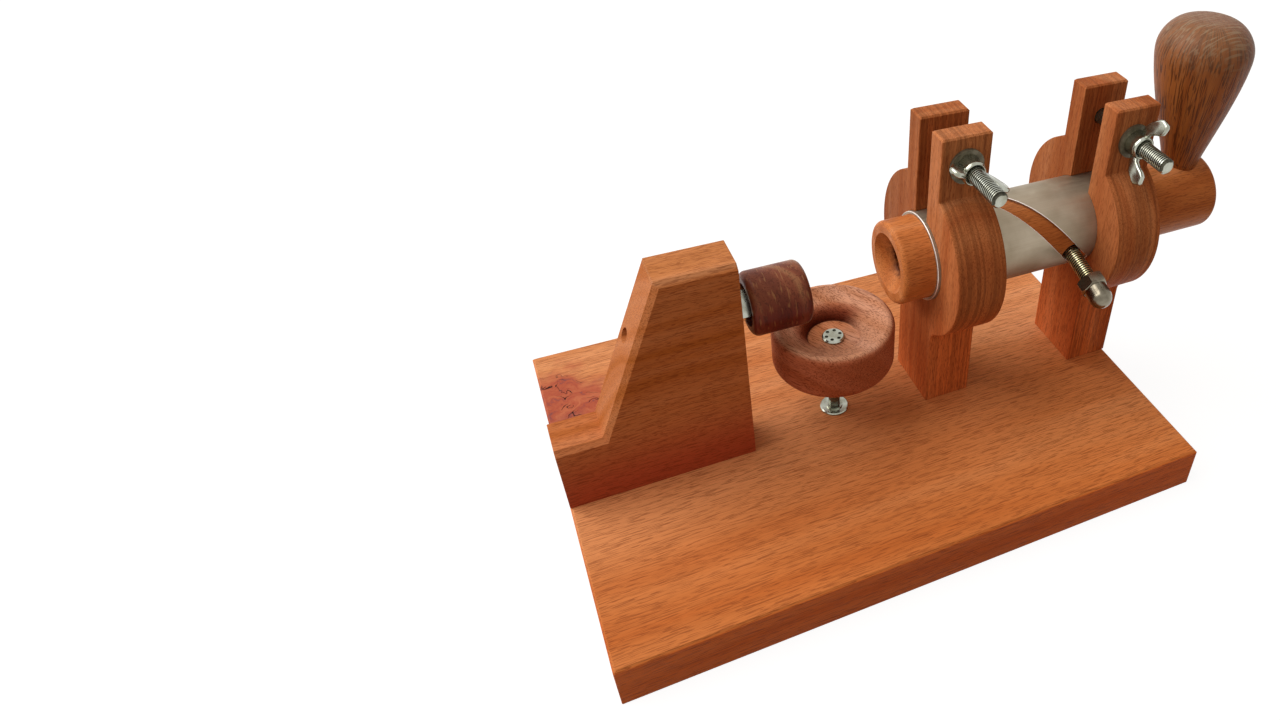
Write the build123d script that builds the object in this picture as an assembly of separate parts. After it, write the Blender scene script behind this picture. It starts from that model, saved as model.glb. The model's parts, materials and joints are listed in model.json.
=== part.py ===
"""Bench nutcracker: a wooden plunger in a clamped tube screws forward along a helical slot and presses a
nut, held in a dish, against a wooden anvil.

Millimetres, +Z up. The origin is the centre of the board's underside and +X runs from the anvil to the handle.
"""
from build123d import *
from math import cos, radians, sin, sqrt, tan
import os

# ---- Board
board_length = 300.0
board_width = 205.0
board_thickness = 25.0
board_edge = 1.2                 # chamfer along the upper edges

# ---- Lines of the mechanism
line_y = 3.0                     # centre line, a little behind the board's middle
plunger_height = 86.5            # axis of the tube and plunger above the board
anvil_height = 83.0              # axis of the anvil above the board

# ---- Clearances
running_gap = 0.05               # radial gap where one piece turns in another
bolt_hole_gap = 0.3              # radial gap of a bolt in a drilled hole

# ---- Anvil post
post_length = 90.5
post_width = 22.8
post_height = 116.8
post_top_length = 35.6
post_foot_length = 21.6
post_foot_height = 37.4
post_chamfer = 2.4
post_shift = -2.8                 # middle of the post behind the tube's axis
post_thread_depth = 36.0         # part of the bore that holds the stud
pilot_radius = 3.4               # drilled through from the thread to the sloping face

# ---- M8 hardware: anvil stud, guide pin and cap nut, clamp bolts
m8_radius = 4.0
m8_flats = 13.0
m8_nut_height = 6.5
m8_head_height = 5.3
m8_washer_radius = 8.6
m8_washer_thickness = 1.6
thread_chamfer = 0.8
nut_chamfer_angle = 30.0
nut_face_share = 0.95            # round face of a nut across its flats

# ---- Anvil
anvil_radius = 15.5
anvil_length = 28.5
anvil_edge = 3.2
anvil_recess_radius = 10.5
anvil_recess_depth = 3.9
anvil_bore_depth = 18.0
nut_to_post = 1.0                # gap between the lock nut and the post
stud_in_post = 32.0

# ---- M6 hardware: dish bolt
m6_radius = 3.0
m6_flats = 10.0
m6_nut_height = 5.0
m6_washer_radius = 7.0
m6_washer_thickness = 1.4

# ---- Dish
dish_offset = 0.85               # from midway between the post and the front bracket, towards the bracket
dish_clear = 32.0                # gap between the board and the dish
dish_height = 28.0
dish_base_height = 14.0          # lower of the two glued layers
dish_radius = 30.8
dish_foot_radius = 19.5
dish_foot_rise = 6.5
dish_rim_round = 3.6
cup_floor_radius = 13.2
cup_floor_drop = 11.4
cup_shoulder_radius = 18.0
cup_shoulder_drop = 5.0
dish_bolt_length = 60.0
dish_head_radius = 5.7
dish_head_height = 1.5
dimple_radius = 0.9
dimple_ring = 3.6
dimple_depth = 0.5
dimple_count = 6

# ---- Threaded insert for the dish bolt
insert_flange_radius = 7.5
insert_flange_height = 1.2
insert_radius = 5.2
insert_length = 14.0
insert_collar_radius = 4.3
insert_collar_height = 0.8
bolt_well_depth = 22.5           # hole in the board below the bolt

# ---- Brackets
bracket_thickness = 25.5
bracket_spacing = 89.3           # from one bracket to the same face of the other
bracket_body_radius = 42.2
bracket_body_shift = 1.5         # the round body sits this far behind the tube's axis
leg_width = 35.5
leg_fillet = 9.0
ear_thickness = 10.7
ear_top = 157.5                  # above the board
ear_edge = 0.8
front_ear_shift = 1.9            # centre of the leg and ears behind the tube's axis
rear_ear_shift = -0.9
front_split = 11.6               # gap between the ears
rear_split = 16.0
front_clamp_height = 142.8       # clamp bolts above the board
rear_clamp_height = 140.2
clamp_bolt_length = 66.0

# ---- Wing nuts
wing_hub_radius = 7.2
wing_hub_top_radius = 5.8
wing_hub_height = 8.0
wing_span = 34.0
wing_reach = 15.5                # from the seat to the top of the wings
wing_low = 1.2                   # underside of a wing at the hub, above the seat
wing_tip_low = 8.0               # underside of a wing at its tip
wing_tip_rake = 1.6
wing_top_width = 5.5
wing_round = 1.8
wing_thickness = 3.0
front_wing_angle = -28.0         # turn of the wings about the bolt, from level
rear_wing_angle = 72.0

# ---- Tube and slot
tube_radius = 22.5
tube_wall = 1.5
tube_lip = 1.6                   # stands out of the front bracket
slot_width = 8.8
slot_lead = 124.0                # travel for one whole turn
slot_front_angle = 92.0          # ends of the slot's centre line, from +Y towards +Z
slot_rear_angle = 217.0

# ---- Plunger
plunger_gap = 0.1                # radial gap in the tube
plunger_reach = 17.8             # stands out of the front bracket's face
plunger_length = 188.2
plunger_nose_round = 2.4
plunger_tail_round = 3.5
hollow_radius = 15.2
hollow_depth = 7.5
socket_radius = 8.0
socket_depth = 8.0

# ---- Guide pin and cap nut
pin_to_bracket = 12.3            # from the pin to the rear bracket's near face
pin_angle = 196.0
pin_root = 6.0                   # inner end of the pin from the plunger's axis
pin_recess_radius = 5.6
pin_recess_depth = 3.0
cap_seat = 39.0                  # inner face of the cap nut from the plunger's axis
cap_hex_height = 6.5
cap_height = 17.5
cap_dome_radius = 5.9
cap_bore_depth = 11.0

# ---- Handle
handle_inset = 15.0              # from the plunger's back end
handle_angle = 88.0
handle_tenon_radius = 7.5
handle_tenon_root = -6.0          # the tenon goes past the axis, so the lock screw crosses it
handle_foot_radius = 8.6
handle_neck = (12.8, 32.0)       # radius, and distance from the plunger's axis
handle_waist = (19.4, 55.0)
handle_swell = (23.9, 76.0)
handle_belly = (23.9, 85.5)
handle_shoulder = (17.9, 94.6)
handle_top = 98.4
handle_saddle = 5.0              # depth of the knob's foot below the plunger's top before it is saddled

# ---- Wood screws
screw_radius = 2.2
screw_head_radius = 4.4
screw_head_height = 2.6
screw_length = 52.0
screw_tip = 5.0
screw_sink = 0.6                 # heads below the board's underside
post_screw_inset = 16.0
bracket_screw_spacing = 18.0
lock_screw_radius = 1.9
lock_screw_head_radius = 4.2
lock_screw_head_height = 2.4
lock_screw_length = 24.0

# ---- Places worked out from the sizes above
board_end = board_length / 2
plunger_z = board_thickness + plunger_height
anvil_z = board_thickness + anvil_height
post_face_x = -board_end + post_length
post_y = line_y + post_shift
anvil_nut_x = post_face_x + nut_to_post
anvil_washer_x = anvil_nut_x + m8_nut_height
anvil_seat_x = anvil_washer_x + m8_washer_thickness
anvil_back_x = anvil_seat_x - anvil_recess_depth
rear_bracket_x = board_end - bracket_thickness
front_bracket_x = rear_bracket_x - bracket_spacing
dish_x = (post_face_x + front_bracket_x) / 2 + dish_offset
pin_x = rear_bracket_x - pin_to_bracket
tube_front_x = front_bracket_x - tube_lip
tube_bore = tube_radius - tube_wall
plunger_radius = tube_bore - plunger_gap
plunger_front_x = front_bracket_x - plunger_reach
plunger_back_x = plunger_front_x + plunger_length
handle_x = plunger_back_x - handle_inset
dish_bottom_z = board_thickness + dish_clear
dish_top_z = dish_bottom_z + dish_height
cup_floor_z = dish_top_z - cup_floor_drop

LOW = (Align.CENTER, Align.CENTER, Align.MIN)


def along_x(x, z):
    """Frame on the centre line that looks along +X; its x is the object's +Y and its y is +Z."""
    return Plane(origin=(x, line_y, z), x_dir=(0, 1, 0), z_dir=(1, 0, 0))


def along_y(x, y, z):
    """Frame that looks along -Y, towards the threaded ends of the clamp bolts; its x is the object's +X."""
    return Plane(origin=(x, y, z), x_dir=(1, 0, 0), z_dir=(0, -1, 0))


def along_z(x, z):
    """Frame on the centre line that looks up."""
    return Plane(origin=(x, line_y, z), x_dir=(1, 0, 0), z_dir=(0, 0, 1))


def radial(x, angle):
    """Frame on the plunger's axis that looks outwards at an angle from +Y towards +Z; its x is along the axis."""
    out = (0, cos(radians(angle)), sin(radians(angle)))
    return Plane(origin=(x, line_y, plunger_z), x_dir=(1, 0, 0), z_dir=out)


def rod(radius, start, end):
    """A plain cylinder on the local z axis between two heights."""
    return Pos(0, 0, start) * Cylinder(radius, end - start, align=LOW)


def turned(outline):
    """A solid of revolution about the local z axis; the outline holds (radius, height) edges."""
    return revolve(make_face(Plane.XZ * outline), Axis.Z)


def threaded_rod(radius, start, end):
    """A stud with chamfered ends, at the thread's outside size."""
    c = thread_chamfer
    return turned(Polyline((0, start), (radius - c, start), (radius, start + c), (radius, end - c),
                           (radius - c, end), (0, end), close=True))


def hexagon(flats, height):
    """A hexagonal prism that stands on the local origin, with a flat across the local x axis."""
    return extrude(RegularPolygon(flats / sqrt(3), 6), height)


def chamfered_hexagon(flats, height, both=True):
    """A nut or bolt head: its corners are turned off at 30 degrees on one or both faces."""
    corner = flats / sqrt(3)
    face = flats / 2 * nut_face_share
    drop = (corner - face) * tan(radians(nut_chamfer_angle))
    below = [(face, 0), (corner, drop)] if both else [(corner, 0)]
    above = [(corner, height - drop), (face, height)]
    return hexagon(flats, height) & turned(Polyline((0, 0), *below, *above, (0, height), close=True))


def washer(radius, bore, thickness):
    return rod(radius, 0, thickness) - rod(bore, 0, thickness)


def countersunk_screw(radius, head_radius, head_height, length, grow=0.0):
    """A wood screw that points up the local z axis, with its flat head at the origin."""
    return turned(Polyline((0, 0), (head_radius + grow, 0), (radius + grow, head_height),
                           (radius + grow, length - screw_tip), (0.3, length + grow), (0, length + grow), close=True))


# ---- Fixed wooden frame

def base_screw(x, y):
    """A screw driven up through the board."""
    screw = countersunk_screw(screw_radius, screw_head_radius, screw_head_height, screw_length)
    return Pos(x, y, screw_sink) * screw


def screw_well(x, y):
    """The space below a sunk screw head."""
    return Pos(x, y, 0) * Cylinder(screw_head_radius, screw_sink, align=LOW)


def post_screw_places():
    left = -board_end + post_screw_inset
    return [(left, post_y), ((left + post_face_x - post_screw_inset) / 2, post_y),
            (post_face_x - post_screw_inset, post_y)]


def bracket_screw_places():
    half = bracket_screw_spacing / 2
    return [(x + bracket_thickness / 2, line_y + side * half)
            for x in (front_bracket_x, rear_bracket_x) for side in (-1, 1)]


def make_board():
    board = Box(board_length, board_width, board_thickness, align=LOW)
    board = chamfer(board.edges().group_by(Axis.Z)[-1], board_edge)
    for x, y in post_screw_places() + bracket_screw_places():
        board -= base_screw(x, y) + screw_well(x, y)
    insert_bore = rod(insert_radius, board_thickness - insert_length, board_thickness)
    bolt_well = rod(m6_radius + bolt_hole_gap, board_thickness - bolt_well_depth, board_thickness)
    return board - along_z(dish_x, 0) * (insert_bore + bolt_well)


def make_post():
    left = -board_end
    top = post_height
    outline = Polyline((left, 0), (post_face_x, 0), (post_face_x, top), (post_face_x - post_top_length, top),
                       (left + post_foot_length, post_foot_height), (left, post_foot_height), close=True)
    post = Pos(0, 0, board_thickness) * extrude(make_face(Plane.XZ * outline), post_width / 2, both=True)
    post = Pos(0, post_y, 0) * post
    upper = [e for e in post.edges() if abs(abs(e.center().Y - post_y) - post_width / 2) < 0.01
             and e.center().Z > board_thickness + post_foot_height - 1
             and e.center().X < post_face_x - 1]
    post = chamfer(upper, post_chamfer)
    post -= along_x(post_face_x - post_thread_depth, anvil_z) * rod(m8_radius + running_gap, 0, post_thread_depth)
    post -= along_x(left, anvil_z) * rod(pilot_radius, 0, post_length)
    for x, y in post_screw_places():
        post -= base_screw(x, y)
    return post


class Clamp:
    """What differs between the two brackets and their bolts."""

    def __init__(self, x, split, ear_shift, clamp_height, wing_angle):
        self.x = x
        self.split = split
        self.ear_shift = ear_shift
        self.clamp_height = clamp_height
        self.wing_angle = wing_angle
        self.ear_span = split + 2 * ear_thickness

    def frame(self):
        """Frame on the bolt's axis at the outer face of the ear with the wing nut, looking outwards."""
        y = line_y + self.ear_shift - self.ear_span / 2
        return along_y(self.x + bracket_thickness / 2, y, board_thickness + self.clamp_height)


def make_bracket(clamp):
    """A split clamp: a leg, a round body about the tube and two ears, with the split down to the bore."""
    axis = plunger_height
    leg = Pos(clamp.ear_shift, axis / 2) * Rectangle(leg_width, axis)
    body = Pos(bracket_body_shift, axis) * Circle(bracket_body_radius)
    leg_corners = [v for v in (leg + body).vertices()
                   if abs(abs(v.X - clamp.ear_shift) - leg_width / 2) < 0.01 and 1 < v.Y < axis]
    profile = fillet(leg_corners, leg_fillet)
    profile += Pos(clamp.ear_shift, (axis + ear_top) / 2) * Rectangle(clamp.ear_span, ear_top - axis)
    profile -= Pos(0, axis) * Circle(tube_radius)
    profile -= Pos(clamp.ear_shift, (axis + ear_top) / 2) * Rectangle(clamp.split, ear_top - axis)
    bracket = along_x(clamp.x, board_thickness) * extrude(profile, bracket_thickness)
    bracket = chamfer(bracket.edges().group_by(Axis.Z)[-1], ear_edge)
    bracket -= clamp.frame() * rod(m8_radius + bolt_hole_gap, -clamp.ear_span - 1, 1)
    for screw_x, screw_y in bracket_screw_places():
        bracket -= base_screw(screw_x, screw_y)
    return bracket


# ---- Anvil on its stud

def make_anvil():
    face = anvil_length
    body = turned(Polyline((0, 0), (anvil_radius, 0), (anvil_radius, face), (0, face), close=True))
    rims = [e for e in body.edges() if e.geom_type == GeomType.CIRCLE]
    body = fillet(rims, anvil_edge)
    body -= rod(anvil_recess_radius, 0, anvil_recess_depth)
    body -= rod(m8_radius, 0, anvil_recess_depth + anvil_bore_depth)
    return along_x(anvil_back_x, anvil_z) * body


def make_anvil_stud():
    start = post_face_x - stud_in_post
    return along_x(0, anvil_z) * threaded_rod(m8_radius, start, anvil_seat_x + anvil_bore_depth)


def make_anvil_nut():
    nut = chamfered_hexagon(m8_flats, m8_nut_height) - rod(m8_radius, 0, m8_nut_height)
    return along_x(anvil_nut_x, anvil_z) * Rot(0, 0, 10) * nut


def make_anvil_washer():
    return along_x(anvil_washer_x, anvil_z) * washer(m8_washer_radius, m8_radius + running_gap,
                                                     m8_washer_thickness)


# ---- Dish on its bolt

def make_dish_base():
    """The lower layer, with a rounded foot."""
    rise = dish_foot_rise
    foot = EllipticalCenterArc((dish_foot_radius, rise), dish_radius - dish_foot_radius, rise, -90, arc_size=90)
    outline = Line((0, 0), (dish_foot_radius, 0)) + foot
    outline += Polyline((dish_radius, rise), (dish_radius, dish_base_height), (0, dish_base_height), (0, 0))
    body = turned(outline) - rod(m6_radius + running_gap, 0, dish_base_height)
    return along_z(dish_x, dish_bottom_z) * body


def make_dish_cup():
    """The upper layer: a wide shallow rim that falls into a round cup with a flat floor."""
    top = dish_height
    low = dish_base_height
    rim = dish_radius - dish_rim_round
    shoulder = (cup_shoulder_radius, top - cup_shoulder_drop)
    floor = (cup_floor_radius, top - cup_floor_drop)
    outline = Polyline((0, low), (dish_radius, low), (dish_radius, top - dish_rim_round))
    outline += CenterArc((rim, top - dish_rim_round), dish_rim_round, 0, 90)
    outline += ThreePointArc((rim, top), ((rim + shoulder[0]) / 2, top - cup_shoulder_drop * 0.62), shoulder)
    outline += ThreePointArc(shoulder, ((shoulder[0] + floor[0]) / 2 - 0.9, (shoulder[1] + floor[1]) / 2 + 0.6), floor)
    outline += Polyline(floor, (0, top - cup_floor_drop), (0, low))
    body = turned(outline) - rod(m6_radius + running_gap, low, top)
    return along_z(dish_x, dish_bottom_z) * body


def make_dish_bolt():
    shank = threaded_rod(m6_radius, -dish_bolt_length, thread_chamfer)
    head = turned(Polyline((0, 0), (dish_head_radius, 0), (dish_head_radius, dish_head_height * 0.5),
                           (dish_head_radius - 0.7, dish_head_height), (0, dish_head_height), close=True))
    bolt = shank + head
    for i in range(dimple_count):
        place = Rot(0, 0, i * 360 / dimple_count) * Pos(dimple_ring, 0, dish_head_height - dimple_depth)
        bolt -= place * Cylinder(dimple_radius, dimple_depth, align=LOW)
    return along_z(dish_x, cup_floor_z) * bolt


def make_dish_washer():
    place = along_z(dish_x, dish_bottom_z - m6_washer_thickness)
    return place * washer(m6_washer_radius, m6_radius + running_gap, m6_washer_thickness)


def make_dish_nut():
    nut = chamfered_hexagon(m6_flats, m6_nut_height) - rod(m6_radius, 0, m6_nut_height)
    return along_z(dish_x, dish_bottom_z - m6_washer_thickness - m6_nut_height) * nut


def make_dish_insert():
    flange = turned(Polyline((0, 0), (insert_flange_radius, 0), (insert_flange_radius, insert_flange_height * 0.6),
                             (insert_flange_radius - 0.5, insert_flange_height), (0, insert_flange_height),
                             close=True))
    collar = rod(insert_collar_radius, 0, insert_flange_height + insert_collar_height)
    body = flange + collar + rod(insert_radius, -insert_length, 0)
    body -= rod(m6_radius + running_gap, -insert_length, insert_flange_height + insert_collar_height)
    return along_z(dish_x, board_thickness) * body


# ---- Clamps

def make_clamp_bolt(clamp):
    seat = -clamp.ear_span - m8_washer_thickness
    shank = threaded_rod(m8_radius, seat - thread_chamfer, seat + clamp_bolt_length)
    head = Pos(0, 0, seat - m8_head_height) * chamfered_hexagon(m8_flats, m8_head_height, both=False)
    return clamp.frame() * (shank + head)


def make_head_washer(clamp):
    ring = washer(m8_washer_radius, m8_radius + running_gap, m8_washer_thickness)
    return clamp.frame() * Pos(0, 0, -clamp.ear_span - m8_washer_thickness) * ring


def make_wing_washer(clamp):
    return clamp.frame() * washer(m8_washer_radius, m8_radius + running_gap, m8_washer_thickness)


def make_wing_nut(clamp):
    hub = turned(Polyline((0, 0), (wing_hub_radius, 0), (wing_hub_top_radius, wing_hub_height),
                          (0, wing_hub_height), close=True))
    tip = wing_span / 2
    root = wing_hub_top_radius - 1
    top = tip - wing_tip_rake
    outline = make_face(Polyline((root, wing_low), (tip, wing_tip_low), (top, wing_reach),
                                 (top - wing_top_width, wing_reach), (root, wing_hub_height), close=True))
    outer = [v for v in outline.vertices() if v.X > wing_hub_radius]
    outline = fillet(outer, wing_round)
    wing = extrude(Plane.XZ * outline, wing_thickness / 2, both=True)
    body = hub + wing + Rot(0, 0, 180) * wing
    body -= rod(m8_radius + running_gap, -1, wing_reach)
    return clamp.frame() * Pos(0, 0, m8_washer_thickness) * Rot(0, 0, clamp.wing_angle) * body


# ---- Tube with its helical slot

def slot_x(angle):
    """Where the slot's centre line is along X at an angle about the axis."""
    return pin_x + (angle - pin_angle) * slot_lead / 360


def make_slot_cutter():
    """A bar of the slot's width, swept along the helix, with a round end at each limit."""
    turn = slot_rear_angle - slot_front_angle
    helix = Helix(pitch=slot_lead, height=slot_lead * turn / 360, radius=tube_radius)
    depth = 4 * tube_wall
    start = Plane(origin=helix @ 0, x_dir=(1, 0, 0), z_dir=helix % 0)
    bar = sweep(start * Rectangle(depth, slot_width), path=helix, is_frenet=True)
    bar = along_x(slot_x(slot_front_angle), plunger_z) * Rot(0, 0, slot_front_angle) * bar
    for angle in (slot_front_angle, slot_rear_angle):
        bar += radial(slot_x(angle), angle) * rod(slot_width / 2, tube_radius - depth / 2, tube_radius + depth / 2)
    return bar


def make_tube():
    length = board_end - tube_front_x
    tube = along_x(tube_front_x, plunger_z) * (rod(tube_radius, 0, length) - rod(tube_bore, 0, length))
    return tube - make_slot_cutter()


# ---- Plunger, pin and handle

def make_plunger():
    length = plunger_length
    body = rod(plunger_radius, 0, length)
    body = fillet(body.faces().sort_by(Axis.Z)[-1].edges(), plunger_tail_round)
    body = fillet(body.faces().sort_by(Axis.Z)[0].edges(), plunger_nose_round)
    body -= turned(Polyline((0, 0), (hollow_radius, 0), (socket_radius, hollow_depth),
                            (socket_radius, hollow_depth + socket_depth), (0, hollow_depth + socket_depth),
                            close=True))
    plunger = along_x(plunger_front_x, plunger_z) * body
    plunger -= radial(pin_x, pin_angle) * (rod(m8_radius, pin_root, plunger_radius)
                                           + rod(pin_recess_radius, plunger_radius - pin_recess_depth,
                                                 plunger_radius + 1))
    plunger -= radial(handle_x, handle_angle) * rod(handle_tenon_radius, handle_tenon_root, plunger_radius + 1)
    return plunger - lock_screw(running_gap)


def make_pin():
    return radial(pin_x, pin_angle) * threaded_rod(m8_radius, pin_root, cap_seat + cap_bore_depth)


def make_cap_nut():
    straight = cap_height - cap_dome_radius
    dome = turned(Line((0, cap_hex_height), (cap_dome_radius, cap_hex_height))
                  + Line((cap_dome_radius, cap_hex_height), (cap_dome_radius, straight))
                  + CenterArc((0, straight), cap_dome_radius, 0, 90)
                  + Line((0, cap_height), (0, cap_hex_height)))
    nut = chamfered_hexagon(m8_flats, cap_hex_height) + dome - rod(m8_radius, 0, cap_bore_depth)
    return radial(pin_x, pin_angle) * Pos(0, 0, cap_seat) * nut


def make_handle():
    """A pear-shaped knob, saddled onto the plunger, with a round tenon."""
    foot = (handle_foot_radius, plunger_radius - handle_saddle)
    top = (0, handle_top)
    side = Spline(foot, handle_neck, handle_waist, handle_swell, handle_belly, handle_shoulder, top,
                  tangents=[(0.2, 1), (-1, 0)])
    knob = turned(Line((0, foot[1]), foot) + side + Line(top, (0, foot[1])))
    tenon = rod(handle_tenon_radius, handle_tenon_root, plunger_radius + 2)
    place = radial(handle_x, handle_angle)
    round_plunger = along_x(plunger_front_x, plunger_z) * rod(plunger_radius, 0, plunger_length)
    return place * (knob + tenon) - (round_plunger - place * tenon) - lock_screw(running_gap)


def lock_screw(grow=0.0):
    """The screw on the plunger's axis that holds the handle's tenon; it enters from the plunger's back end."""
    screw = countersunk_screw(lock_screw_radius, lock_screw_head_radius, lock_screw_head_height,
                              lock_screw_length, grow)
    return Plane(origin=(plunger_back_x, line_y, plunger_z), z_dir=(-1, 0, 0)) * screw


# ---- All pieces

clamps = {
    "front": Clamp(front_bracket_x, front_split, front_ear_shift, front_clamp_height, front_wing_angle),
    "rear": Clamp(rear_bracket_x, rear_split, rear_ear_shift, rear_clamp_height, rear_wing_angle),
}

nodes = {
    "baseboard": make_board(),
    "anvil_post": make_post(),
    "post_screws": Compound([base_screw(x, y) for x, y in post_screw_places()]),
    "bracket_screws": Compound([base_screw(x, y) for x, y in bracket_screw_places()]),
    "anvil": make_anvil(),
    "anvil_stud": make_anvil_stud(),
    "anvil_nut": make_anvil_nut(),
    "anvil_washer": make_anvil_washer(),
    "dish_base": make_dish_base(),
    "dish_cup": make_dish_cup(),
    "dish_bolt": make_dish_bolt(),
    "dish_washer": make_dish_washer(),
    "dish_nut": make_dish_nut(),
    "dish_insert": make_dish_insert(),
    "guide_tube": make_tube(),
    "plunger": make_plunger(),
    "guide_pin": make_pin(),
    "cap_nut": make_cap_nut(),
    "handle": make_handle(),
    "handle_lock_screw": lock_screw(),
    "bolt_head_washers": Compound([make_head_washer(clamp) for clamp in clamps.values()]),
}
for end, clamp in clamps.items():
    nodes[end + "_bracket"] = make_bracket(clamp)
    nodes[end + "_clamp_bolt"] = make_clamp_bolt(clamp)
    nodes[end + "_wing_washer"] = make_wing_washer(clamp)
    nodes[end + "_wing_nut"] = make_wing_nut(clamp)

os.makedirs("parts", exist_ok=True)
for name, shape in nodes.items():
    export_step(shape, f"parts/{name}.step")
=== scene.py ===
import json
import math

import bmesh
import bpy
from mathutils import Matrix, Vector


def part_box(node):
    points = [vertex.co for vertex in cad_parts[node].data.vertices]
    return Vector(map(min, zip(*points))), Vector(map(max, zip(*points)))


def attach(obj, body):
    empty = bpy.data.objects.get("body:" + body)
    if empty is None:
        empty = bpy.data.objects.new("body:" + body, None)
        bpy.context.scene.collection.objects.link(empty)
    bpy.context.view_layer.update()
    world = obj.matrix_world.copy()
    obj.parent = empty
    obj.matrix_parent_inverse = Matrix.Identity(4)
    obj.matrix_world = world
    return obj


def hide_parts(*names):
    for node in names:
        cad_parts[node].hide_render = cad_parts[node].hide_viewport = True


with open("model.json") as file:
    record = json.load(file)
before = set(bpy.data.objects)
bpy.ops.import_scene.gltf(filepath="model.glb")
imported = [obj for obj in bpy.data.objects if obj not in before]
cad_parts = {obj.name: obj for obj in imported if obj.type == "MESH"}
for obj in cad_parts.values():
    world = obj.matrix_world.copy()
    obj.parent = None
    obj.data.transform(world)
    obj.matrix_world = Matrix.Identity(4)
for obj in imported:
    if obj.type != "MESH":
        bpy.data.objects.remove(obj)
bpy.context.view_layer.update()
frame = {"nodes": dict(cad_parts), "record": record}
record = frame["record"]
body_of = {n: body for body, names in record["behaviour"]["bodies"].items() for n in names}
slot_of = {part["node"]: part["material_slot"] for part in record["subparts"]}
mm = 0.001
same_point = 0.004 * mm              # corners nearer to each other than this are one
crease = math.radians(32)            # faces that meet at less than this are shaded as one surface


def middle(name):
    low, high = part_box(name)
    return (low + high) / 2


tube_axis = middle("guide_tube")
nose_centre = (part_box("plunger")[0].x, tube_axis.y, tube_axis.z)
dish_centre = middle("dish_cup")
handle_centre = middle("handle")


# ---------------------------------------------------------------- materials
# Patterns are drawn on each piece's own coordinates, in metres. A scale of 1000 has a cell for each mm.


def paint(code):
    """A colour written as sRGB hex, turned to the linear numbers that a shader takes."""
    parts = [int(code[i:i + 2], 16) / 255 for i in (1, 3, 5)]
    return [c / 12.92 if c <= 0.04045 else ((c + 0.055) / 1.055) ** 2.4 for c in parts] + [1.0]


def grey(value):
    return [value, value, value, 1.0]


def blank(name):
    material = bpy.data.materials.new(name)
    material.use_nodes = True
    material.node_tree.nodes.clear()
    return material, material.node_tree


def add(tree, kind, inputs=None, ramp=None, **settings):
    """Adds a shader node, sets its own settings, and sets or links its inputs."""
    made = tree.nodes.new("ShaderNode" + kind)
    for name, value in settings.items():
        setattr(made, name, value)
    for name, value in (inputs or {}).items():
        if isinstance(value, bpy.types.NodeSocket):
            tree.links.new(value, made.inputs[name])
        else:
            made.inputs[name].default_value = value
    if ramp:
        band = made.color_ramp
        while len(band.elements) < len(ramp):
            band.elements.new(0.5)
        for stop, (place, colour) in zip(band.elements, ramp):
            stop.position, stop.color = place, colour
    return made


def from_axis(tree, place, centre, across):
    """Each point's offset from centre, the part of it that lies across an axis there, and how long that is."""
    off = add(tree, "VectorMath", {0: place, 1: centre}, operation="SUBTRACT").outputs[0]
    flat = add(tree, "VectorMath", {0: off, 1: across}, operation="MULTIPLY").outputs[0]
    wide = add(tree, "VectorMath", {0: flat}, operation="LENGTH").outputs["Value"]
    return off, flat, wide


def wash_over(tree, colour, measure, begin, full, wash):
    """Tints the colour with a wash that is nothing where the measure is begin and whole where it is full."""
    depth = add(tree, "MapRange", {"Value": measure, "From Min": begin, "From Max": full},
                interpolation_type="SMOOTHSTEP").outputs[0]
    wash = add(tree, "Mix", {0: depth, 6: grey(1.0), 7: wash}, data_type="RGBA").outputs[2]
    return add(tree, "Mix", {0: 1.0, 6: colour, 7: wash}, data_type="RGBA",
               blend_type="MULTIPLY").outputs[2]


def tapered_grain(tree, place, centre, least, full):
    """Grain that runs with a tapered piece: every point outside the least radius is laid on one cylinder."""
    off, flat, wide = from_axis(tree, place, centre, (1, 1, 0))
    wide = add(tree, "Math", {0: wide, 1: least}, operation="MAXIMUM").outputs[0]
    stretch = add(tree, "Math", {0: full, 1: wide}, operation="DIVIDE").outputs[0]
    flat = add(tree, "VectorMath", {0: flat, "Scale": stretch}, operation="SCALE").outputs[0]
    return add(tree, "VectorMath", {0: off, 1: (0, 0, 1), 2: flat}, operation="MULTIPLY_ADD").outputs[0]


def growth_rings(tree, laid, ring):
    """The log's rings, ring mm apart, which wander sideways and change slowly along the grain."""
    drift_scale = (7, 25, 25)        # 150 mm along the grain and 40 mm across it
    wander = 14 * mm
    along_scale = 2.5                # a ring keeps its tone for 400 mm
    slow = add(tree, "VectorMath", {0: laid, 1: drift_scale}, operation="MULTIPLY").outputs[0]
    drift = add(tree, "TexNoise", {"Vector": slow, "Scale": 1.0, "Detail": 2.0}).outputs["Color"]
    drift = add(tree, "VectorMath", {0: drift, 1: (0.5, 0.5, 0.5)}, operation="SUBTRACT").outputs[0]
    pushed = add(tree, "VectorMath", {0: drift, 1: (0, wander, wander), 2: laid},
                 operation="MULTIPLY_ADD").outputs[0]
    across = add(tree, "VectorMath", {0: pushed, 1: (0, 1, 1)}, operation="MULTIPLY").outputs[0]
    radius = add(tree, "VectorMath", {0: across}, operation="LENGTH").outputs["Value"]
    outward = add(tree, "Math", {0: radius, 1: 1 / (ring * mm)}, operation="MULTIPLY").outputs[0]
    along = add(tree, "SeparateXYZ", {0: pushed}).outputs["X"]
    along = add(tree, "Math", {0: along, 1: along_scale}, operation="MULTIPLY").outputs[0]
    log = add(tree, "CombineXYZ", {0: along, 1: outward}).outputs[0]
    return add(tree, "TexNoise", {"Vector": log, "Scale": 1.0, "Detail": 1.5, "Roughness": 0.45},
               noise_dimensions="2D").outputs[0]


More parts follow.
